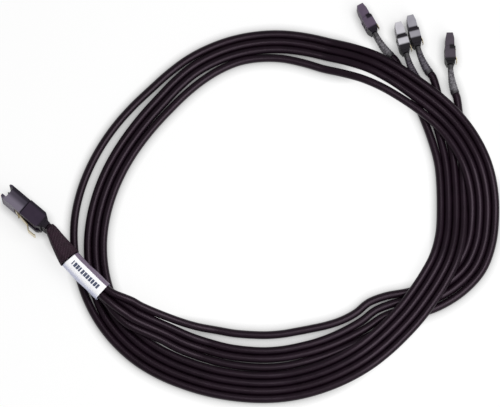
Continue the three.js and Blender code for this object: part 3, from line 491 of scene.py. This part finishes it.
sleeve_fabric, tree, output = new_material("braided polyester")
spots = add(tree, "ShaderNodeTexCoord")
mottle = add(tree, "ShaderNodeTexNoise", Vector=spots.outputs["Object"], Scale=SLEEVE_CLOUDS, Detail=4.0)
wine = add(tree, "ShaderNodeMix", {"data_type": "RGBA"}, Factor=mottle.outputs["Fac"],
           i6=srgb(SLEEVE_TONES[0]), i7=srgb(SLEEVE_TONES[1]))
fibre = add(tree, "ShaderNodeTexNoise", Vector=spots.outputs["Object"], Scale=FIBRES, Detail=1.0)
bump = add(tree, "ShaderNodeBump", Strength=0.5, Distance=FIBRE_DEPTH, Height=fibre.outputs["Fac"])
shader = add(tree, "ShaderNodeBsdfPrincipled", Base_Color=wine.outputs[2], Roughness=0.62,
             Specular_IOR_Level=0.2, Normal=bump.outputs[0])
tree.links.new(shader.outputs[0], output.inputs["Surface"])
sleeve = skin("sleeve_braid", wrap_rings(
    SLEEVE_SHARES, SLEEVE_STEPS, SLEEVE_SIDES,
    lambda t: (SLEEVE_THICKNESS + (SLEEVE_END - SLEEVE_THICKNESS) * t,
               SLEEVE_WIDTH + (SLEEVE_END - SLEEVE_WIDTH) * ease(t),
               SLEEVE_POWERS[0] + (SLEEVE_POWERS[1] - SLEEVE_POWERS[0]) * t),
    braid, SLEEVE_WALL), sleeve_fabric)
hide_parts("strand_sleeve")
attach(sleeve, "cable")

# Label.
# A white printed film is wrapped once round the strands just past the sleeve and stuck to itself. A
# mauve stripe runs along one side of it, its print is shown as plain slate bars, and where it turns
# down on the other side it is painted a bluish shade.

LABEL_SHARES = (0.31, LABEL_END_SHARE)
LABEL_SIZE = 11.2
LABEL_POWER = 3
LABEL_WALL = 0.3
LABEL_WAVE = 0.12  # the film stands off the strands unevenly by this much
LABEL_SIDES = 96
LABEL_STEPS = 48
RIPPLES = 220.0  # to a metre
RIPPLE_DEPTH = 0.2 * MM
PAPER = "#f1f1f4"
PAINTED_PAPER_SHADE = "#cfd2ea"
STRIPE = "#6d6073"
INK = "#3c435c"
BAR_PITCH = 1.9
BAR_START = 0.08  # shares of a bar's pitch
BAR_END = (0.66, 0.96)
PRINT_ACROSS = (-1.9, 0.8)
PRINT_ALONG = (2.6, 22.6)
PRINT_DROP = 1.5  # how far below the middle of the label's start the film still counts as its upper side
STRIPE_EDGE = 2.9
PAINTED_SHADE_EDGE = -4.4  # past it the film turns down and is painted a bluish shade
UNDERSIDE = -9.0  # where the print's map puts what faces down, past all print and inside the painted shade


def film(t):
    """Swell of the film: two slow waves along it, in step with one round it."""
    around = 2 * np.pi * np.arange(LABEL_SIDES) / LABEL_SIDES
    return LABEL_WAVE * np.sin(2 * np.pi * 1.7 * t + 3 * around) * np.sin(np.pi * t)


def step(tree, value, edge, soft):
    """Nought below an edge and one above it, blended smoothly over the soft width on each side."""
    return add(tree, "ShaderNodeMapRange", {"interpolation_type": "SMOOTHSTEP"}, Value=value,
               From_Min=edge - soft, From_Max=edge + soft).outputs[0]


def maths(tree, operation, first, second=0.0):
    """The result of one arithmetic node."""
    return add(tree, "ShaderNodeMath", {"operation": operation}, i0=first, i1=second).outputs[0]


def inside(tree, value, low, high, soft):
    """One between two edges and nought outside them, blended smoothly."""
    return maths(tree, "MULTIPLY", step(tree, value, low, soft), step(tree, value, high, -soft))


def mixed_in(tree, mask, below, above):
    """One colour where the mask is nought and another where it is one."""
    return add(tree, "ShaderNodeMix", {"data_type": "RGBA"}, Factor=mask, i6=below, i7=above).outputs[2]


label_film, tree, output = new_material("printed white film")
across_map = add(tree, "ShaderNodeUVMap", {"uv_map": "print"})
parts = add(tree, "ShaderNodeSeparateXYZ", Vector=across_map.outputs[0])
across, run = parts.outputs[0], parts.outputs[1]
cell = maths(tree, "FLOOR", maths(tree, "DIVIDE", run, BAR_PITCH))
within = maths(tree, "SUBTRACT", maths(tree, "DIVIDE", run, BAR_PITCH), cell)
luck = add(tree, "ShaderNodeTexWhiteNoise", {"noise_dimensions": "1D"}, W=cell).outputs[0]
bar_end = maths(tree, "ADD", maths(tree, "MULTIPLY", luck, BAR_END[1] - BAR_END[0]), BAR_END[0])
bar = maths(tree, "MULTIPLY", maths(tree, "LESS_THAN", within, bar_end),
            maths(tree, "GREATER_THAN", within, BAR_START))
row = inside(tree, across, *PRINT_ACROSS, 0.2)
length_of_print = inside(tree, run, *PRINT_ALONG, 0.1)
ink = maths(tree, "MULTIPLY", maths(tree, "MULTIPLY", bar, row), length_of_print)
stripe = step(tree, across, STRIPE_EDGE, 0.15)
# Past its edge the film is painted a bluish shade where it turns down.
painted_shade = step(tree, across, PAINTED_SHADE_EDGE, -1.0)
paper = mixed_in(tree, painted_shade, srgb(PAPER), srgb(PAINTED_PAPER_SHADE))
paper = mixed_in(tree, stripe, paper, srgb(STRIPE))
paper = mixed_in(tree, ink, paper, srgb(INK))
spots = add(tree, "ShaderNodeTexCoord")
ripple = add(tree, "ShaderNodeTexNoise", Vector=spots.outputs["Object"], Scale=RIPPLES, Detail=2.0)
bump = add(tree, "ShaderNodeBump", Strength=0.3, Distance=RIPPLE_DEPTH, Height=ripple.outputs["Fac"])
shader = add(tree, "ShaderNodeBsdfPrincipled", Base_Color=paper, Roughness=0.45, Normal=bump.outputs[0])
tree.links.new(shader.outputs[0], output.inputs["Surface"])
rings = wrap_rings(LABEL_SHARES, LABEL_STEPS, LABEL_SIDES,
                   lambda t: (LABEL_SIZE, LABEL_SIZE, LABEL_POWER), film, LABEL_WALL)
label = skin("label_film", rings, label_film)
flat = box_ring(LABEL_SIZE, LABEL_SIZE, LABEL_POWER, LABEL_SIDES)
label_start = (lead_at(LABEL_SHARES[0])[0][0] + CABLE_PLACE) * MM
label_end = (lead_at(LABEL_SHARES[1])[0][0] + CABLE_PLACE) * MM
label_way = (label_end - label_start)[:2] / np.linalg.norm((label_end - label_start)[:2])
place = np.array([v.co for v in label.data.vertices])
lengthways = (place[:, :2] - label_start[:2]) @ label_way / MM
sideways = np.tile(flat[:, 0], len(rings))
upper = place[:, 2] > label_start[2] - PRINT_DROP * MM
printed = np.stack([np.where(upper, sideways, UNDERSIDE), lengthways], axis=1)
loops = np.array([loop.vertex_index for loop in label.data.loops])
label.data.uv_layers.new(name="print").data.foreach_set("uv", printed[loops].ravel())
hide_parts("wrap_label")
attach(label, "cable")

# Wide plug.
# A black glass-filled nylon plug in two mouldings, a rear cover and a slightly paler nose, pressed
# together. A circuit card shows between the nose's two broad walls, and a pressed steel latch runs
# back along one of them to its pad.

WIDE_HEADING_DEG = math.degrees(WIDE_HEADING)
# Bands of tone in the plug's own frame: axis, low, high, soft width and colour. On both mouldings the
# band at negative Y is painted shade, and the nose's band at positive Y is a painted highlight; the
# cover's band at its rear end, the nose's joint line and the band at its tip are darker tones.
COVER_TONES_AND_PAINTED_SHADE = [(1, -6, -3.2, 0.5, "#1e1824"), (0, -1, 1.4, 0.5, "#1c1620")]
NOSE_TONES_AND_PAINTED_LIGHT = [(1, 0.6, 6, 1.6, "#6f6876"), (1, -6, -2.4, 0.7, "#1f1a25"), (0, 12, 13.8, 0.3, "#221c28"),
              (0, 25.6, 29, 0.8, "#403947")]
MOULD_EDGE = 0.2 * MM
MOULD_GRAIN = 0.05 * MM
STEEL_EDGE = 0.08 * MM
STEEL_GRAIN = 0.03 * MM
STEEL_ROUGHNESS = (0.18, 0.34)
PAD_START = 3.6
PAD_PITCH = 1.6444
PAD_HALF_SHARE = 0.3  # half a pad's height, as a share of the pitch
PAD_REACH = (20.5, 24.9)


def own_place(tree, place, heading_deg):
    """Object coordinates in millimetres in a plug's own frame, nose along X, as three sockets."""
    spots = add(tree, "ShaderNodeTexCoord")
    origin = tuple((np.asarray(place, float) + CABLE_PLACE[:len(place)]) * MM) + (0.0,) * (3 - len(place))
    turn = add(tree, "ShaderNodeMapping", {"vector_type": "TEXTURE"}, Vector=spots.outputs["Object"],
               Location=origin, Rotation=(0, 0, math.radians(heading_deg)), Scale=(MM, MM, MM))
    split = add(tree, "ShaderNodeSeparateXYZ", Vector=turn.outputs[0])
    return turn.outputs[0], split.outputs


def moulded(name, place, heading_deg, light, dark, bands, pocket, roughness):
    """Moulded plastic: two close tones mottled together, bands of other tone at (axis, low, high, soft,
    colour) of the plug's own frame, some of them painted light and shade, a dark pocket of painted shade
    at (axis, low, high, soft, reach, colour) that ends at its reach across the plug, fine texture, and
    edges rounded by a fifth of a millimetre."""
    material, tree, output = new_material(name)
    vector, axes = own_place(tree, place, heading_deg)
    mottle = add(tree, "ShaderNodeTexNoise", Vector=vector, Scale=0.22, Detail=4.0)
    spread = step(tree, mottle.outputs["Fac"], 0.5, 0.3)
    colour = mixed_in(tree, spread, srgb(dark), srgb(light))
    for axis, low, high, soft, tone in bands:
        colour = mixed_in(tree, inside(tree, axes[axis], low, high, soft), colour, srgb(tone))
    if pocket:
        axis, low, high, soft, reach, tone = pocket
        mask = maths(tree, "MULTIPLY", inside(tree, axes[axis], low, high, soft),
                     step(tree, axes[1], reach, -soft))
        colour = mixed_in(tree, mask, colour, srgb(tone))
    grain = add(tree, "ShaderNodeTexNoise", Vector=vector, Scale=9.0, Detail=2.0)
    edge = add(tree, "ShaderNodeBevel", {"samples": 6}, Radius=MOULD_EDGE)
    bump = add(tree, "ShaderNodeBump", Strength=0.2, Distance=MOULD_GRAIN, Height=grain.outputs["Fac"],
               Normal=edge.outputs[0])
    shader = add(tree, "ShaderNodeBsdfPrincipled", Base_Color=colour, Roughness=roughness,
                 Specular_IOR_Level=0.14, Normal=bump.outputs[0])
    tree.links.new(shader.outputs[0], output.inputs["Surface"])
    return material


def refinish(node, material):
    """Gives a CAD node's slots a finished material."""
    for material_slot in bpy.data.objects[node].material_slots:
        material_slot.material = material


def steel(name, place, heading_deg, warm):
    """Rolled spring steel: fine lines along the strip and a faint warm tarnish."""
    material, tree, output = new_material(name)
    vector = own_place(tree, place, heading_deg)[0]
    lines = add(tree, "ShaderNodeMapping", Vector=vector, Scale=(0.15, 6, 6))
    grain = add(tree, "ShaderNodeTexNoise", Vector=lines.outputs[0], Scale=1.0, Detail=3.0)
    tarnish = add(tree, "ShaderNodeTexNoise", Vector=vector, Scale=0.25, Detail=4.0)
    colour = mixed_in(tree, tarnish.outputs["Fac"], srgb(warm), srgb("#cdbf9c"))
    rough = add(tree, "ShaderNodeMapRange", Value=grain.outputs["Fac"],
                To_Min=STEEL_ROUGHNESS[0], To_Max=STEEL_ROUGHNESS[1])
    edge = add(tree, "ShaderNodeBevel", {"samples": 4}, Radius=STEEL_EDGE)
    bump = add(tree, "ShaderNodeBump", Strength=0.15, Distance=STEEL_GRAIN, Height=grain.outputs["Fac"],
               Normal=edge.outputs[0])
    shader = add(tree, "ShaderNodeBsdfPrincipled", Base_Color=colour, Metallic=1.0,
                 Roughness=rough.outputs[0], Normal=bump.outputs[0])
    tree.links.new(shader.outputs[0], output.inputs["Surface"])
    return material


refinish("sas_rear_cover", moulded(
    "black nylon cover", WIDE_PLACE[:2], WIDE_HEADING_DEG, "#322837", "#2c2232", COVER_TONES_AND_PAINTED_SHADE, None, 0.5))
refinish("sas_nose", moulded(
    "grey nylon nose", WIDE_PLACE[:2], WIDE_HEADING_DEG, "#46404c", "#3d3844", NOSE_TONES_AND_PAINTED_LIGHT, None, 0.48))
refinish("sas_strand_comb", moulded(
    "black nylon comb", WIDE_PLACE[:2], WIDE_HEADING_DEG, "#241e28", "#19151c", [], None, 0.5))
refinish("sas_latch", steel("latch spring steel", WIDE_PLACE[:2], WIDE_HEADING_DEG, "#bfae84"))

card_board, tree, output = new_material("glass epoxy card with gold pads")
vector, axes = own_place(tree, WIDE_PLACE[:2], WIDE_HEADING_DEG)
weave = add(tree, "ShaderNodeTexNoise", Vector=vector, Scale=1.6, Detail=2.0)
green = mixed_in(tree, weave.outputs["Fac"], srgb("#234a38"), srgb("#2f5f47"))
rows = maths(tree, "DIVIDE", maths(tree, "SUBTRACT", axes[2], PAD_START), PAD_PITCH)
off_middle = maths(tree, "ABSOLUTE", maths(tree, "SUBTRACT", maths(tree, "FRACT", rows), 0.5))
pad_rows = maths(tree, "LESS_THAN", off_middle, PAD_HALF_SHARE)
pads = maths(tree, "MULTIPLY", pad_rows, inside(tree, axes[0], *PAD_REACH, 0.05))
shader = add(tree, "ShaderNodeBsdfPrincipled", Base_Color=mixed_in(tree, pads, green, srgb("#c9a04a")),
             Metallic=pads, Roughness=0.35)
tree.links.new(shader.outputs[0], output.inputs["Surface"])
refinish("sas_paddle_card", card_board)

# Drive plugs.
# Each strand ends in a small moulded plug with an L-shaped slot, a black contact wafer with gilt
# contacts, a steel spring latch, and a flexible rubber boot that leads the strand in. The moulding is
# grey at the nose and nearly black at the collar by the boot, that near-black being partly painted shade
# on the plug's rear, and a painted shade darkens a pocket where the nose meets the grip.

# Tones of each moulding and of its near-black parts, the collar's partly painted shade on the plug's
# rear and the pocket's painted shade, how far its dark collar reaches along it and its dark pocket
# across it, and its boot's tones
PLUG_TONES = [
    {"light": "#48404a", "dark": "#3e3840", "collar_tone_and_painted_shade": "#0e0b10", "collar": 3.2, "reach": 0.3,
     "boot": ("#3d3a40", "#6a686d")},
    {"light": "#908f96", "dark": "#84818a", "collar_tone_and_painted_shade": "#17131a", "collar": 4.6, "reach": 4,
     "boot": ("#241e29", "#4e4a53")},
    {"light": "#b8b6bc", "dark": "#a9a7ae", "collar_tone_and_painted_shade": "#161219", "collar": 4.6, "reach": 4,
     "boot": ("#1e1722", "#3b343f")},
    {"light": "#584b5d", "dark": "#4d4253", "collar_tone_and_painted_shade": "#120c17", "collar": 3.2, "reach": 0.3,
     "boot": ("#38353a", "#625f64")}]
BOOT_ROOT = {"thickness": 2.8, "width": 8.6, "power": 5}
BOOT_END = 4.8
BOOT_RINGS = 7  # flexing grooves moulded round it
GROOVE_DEPTH = 0.28
GROOVE_START = 0.28  # shares of the boot's length
GROOVE_RUN = 0.62
COLLAR_START = -1
POCKET = (8, 10.6)  # along the plug, where a painted shade darkens the pocket at the joint of nose and grip
BOOT_MIDDLE = (-13.4, -3.2)  # the lighter length between its darker ends
BOOT_END_TONE = "#1d1a1f"
BOOT_GRAIN = 0.08 * MM
BOOT_STEPS = 120
BOOT_SIDES = 48


def boot_rings(plug):
    """Rings of a drive plug's boot: the superellipse goes from a flat oblong to a circle as it follows
    the relief's middle line. Shallow grooves, each the eighth power of a sine, run round it between its
    two ends."""
    share = np.linspace(0, 1, BOOT_STEPS)
    middle = relief_middle(plug, share) + relief_way(plug, share) * (SEAT * (1 - share))[:, None]
    way = relief_way(plug, share)
    side = np.stack([-way[:, 1], way[:, 0], 0 * share], axis=1)
    grooved = np.clip((share - GROOVE_START) / GROOVE_RUN, 0, 1)
    groove = np.sin(np.pi * grooved * BOOT_RINGS) ** 8 * GROOVE_DEPTH
    rings = []
    for k, t in enumerate(share):
        thickness = BOOT_ROOT["thickness"] + (BOOT_END - BOOT_ROOT["thickness"]) * ease(t)
        width = BOOT_ROOT["width"] + (BOOT_END - BOOT_ROOT["width"]) * t
        power = BOOT_ROOT["power"] + (2 - BOOT_ROOT["power"]) * t
        flat = box_ring(thickness - 2 * groove[k], width - 2 * groove[k], power, BOOT_SIDES)
        rings.append(middle[k] + side[k] * flat[:, :1] + np.array([0, 0, 1]) * flat[:, 1:])
    return turned(np.array(rings), plug["heading"]) + [*plug["place"], 0]


for k, plug in enumerate(DRIVE_PLUGS):
    name = f"drive_{k + 1}"
    tones = PLUG_TONES[k]
    # The collar's near-black is partly painted shade on the rear, and the pocket's is painted shade.
    collar = [(0, COLLAR_START, tones["collar"], 0.6, tones["collar_tone_and_painted_shade"])]
    pocket = (0, *POCKET, 0.5, tones["reach"], tones["collar_tone_and_painted_shade"])
    refinish(f"{name}_housing", moulded(
        f"grey plug moulding {k + 1}", plug["place"], plug["heading"], tones["light"], tones["dark"],
        collar, pocket, 0.5))
    refinish(f"{name}_latch", steel(f"plug latch steel {k + 1}", plug["place"], plug["heading"], "#8f8676"))
    wafer, tree, output = new_material(f"black wafer with gilt contacts {k + 1}")
    vector, axes = own_place(tree, plug["place"], plug["heading"])
    raised = step(tree, axes[1], -0.1, 0.05)
    grain = add(tree, "ShaderNodeTexNoise", Vector=vector, Scale=5.0, Detail=2.0)
    rough = add(tree, "ShaderNodeMapRange", Value=grain.outputs["Fac"], To_Min=0.3, To_Max=0.5)
    shader = add(tree, "ShaderNodeBsdfPrincipled", Metallic=raised, Roughness=rough.outputs[0],
                 Base_Color=mixed_in(tree, raised, srgb("#18161a"), srgb("#c79f4c")))
    tree.links.new(shader.outputs[0], output.inputs["Surface"])
    refinish(f"{name}_wafer", wafer)

    rubber, tree, output = new_material(f"moulded rubber boot {k + 1}")
    vector, axes = own_place(tree, plug["place"], plug["heading"])
    mottle = add(tree, "ShaderNodeTexNoise", Vector=vector, Scale=0.55, Detail=3.0)
    worn = mixed_in(tree, step(tree, mottle.outputs["Fac"], 0.5, 0.15), *map(srgb, tones["boot"]))
    ends = maths(tree, "SUBTRACT", 1.0, inside(tree, axes[0], *BOOT_MIDDLE, 0.9))
    tip = mixed_in(tree, ends, worn, srgb(BOOT_END_TONE))
    grain = add(tree, "ShaderNodeTexNoise", Vector=vector, Scale=7.0, Detail=2.0)
    bump = add(tree, "ShaderNodeBump", Strength=0.2, Distance=BOOT_GRAIN, Height=grain.outputs["Fac"])
    shader = add(tree, "ShaderNodeBsdfPrincipled", Base_Color=tip, Roughness=0.6, Normal=bump.outputs[0])
    tree.links.new(shader.outputs[0], output.inputs["Surface"])
    boot = skin(f"{name}_boot", (boot_rings(plug) + CABLE_PLACE) * MM, rubber)
    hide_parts(f"{name}_relief")
    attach(boot, "cable")
    jacket_piece, line, strand_length = strands[k]

size = {"cad": [list(map(float, c)) for c in cad_box], "visual": [list(map(float, c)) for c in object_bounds()]}
